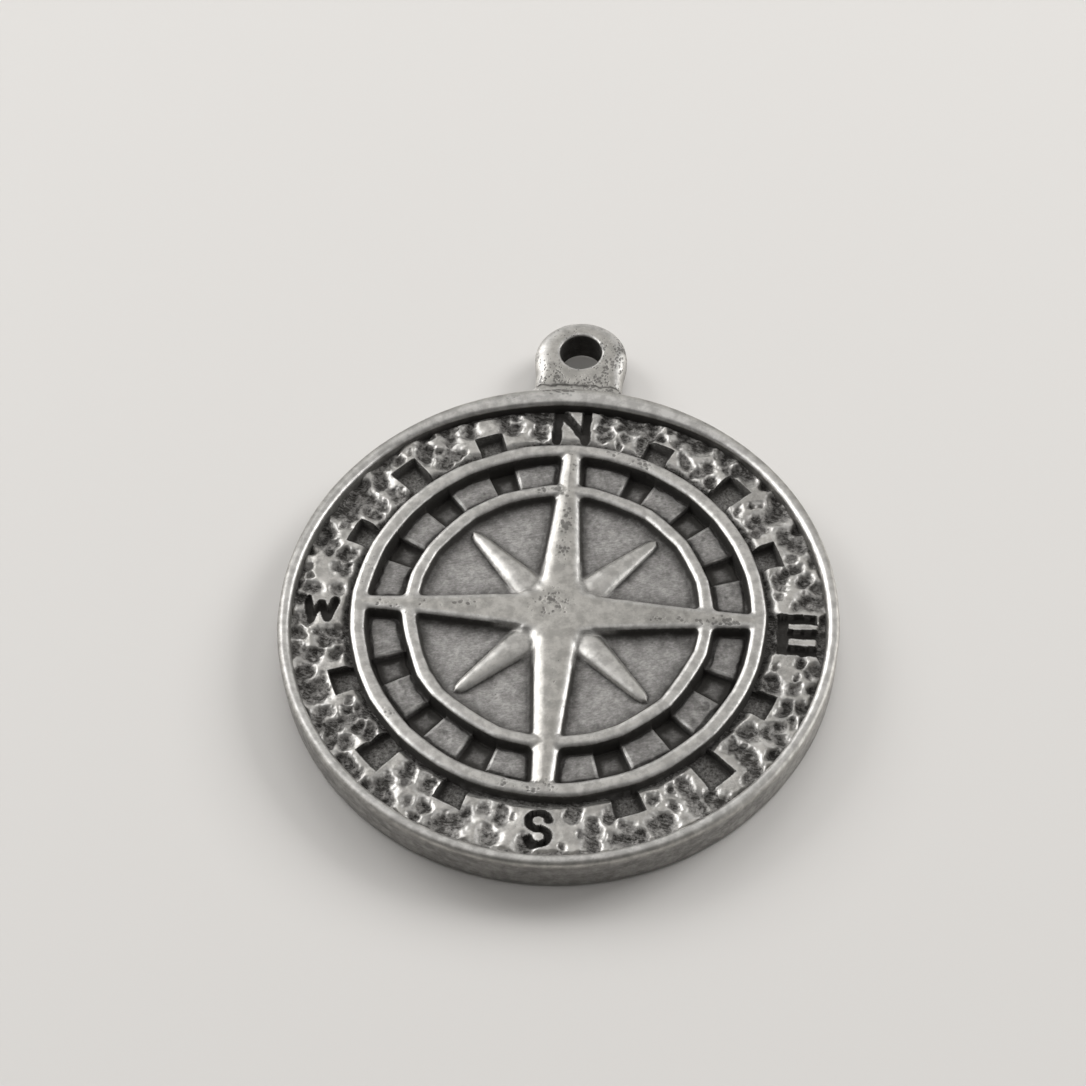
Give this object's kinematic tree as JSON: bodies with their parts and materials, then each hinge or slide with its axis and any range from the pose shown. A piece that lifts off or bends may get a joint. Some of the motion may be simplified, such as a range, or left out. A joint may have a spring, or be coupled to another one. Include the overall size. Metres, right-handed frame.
{
  "type": "compass pendant",
  "caption": "Round compass-rose pendant: raised star in two rings, hammered band with sunk cardinal letters, and a flat eye for a jump ring.",
  "frame": {"origin": "middle of the round disc on its flat back face, on which the pendant lies", "axes": "+Z out of the decorated face, +Y north along the face towards the eye, +X east"},
  "size_m": [0.025, 0.0296, 0.0021],
  "materials": {
    "metal": "antique silver: dark oxide left in the recesses, ridges and flat tops rubbed bright"
  },
  "bodies": {
    "root": {"pendant": "metal"}
  },
  "joints": []
}
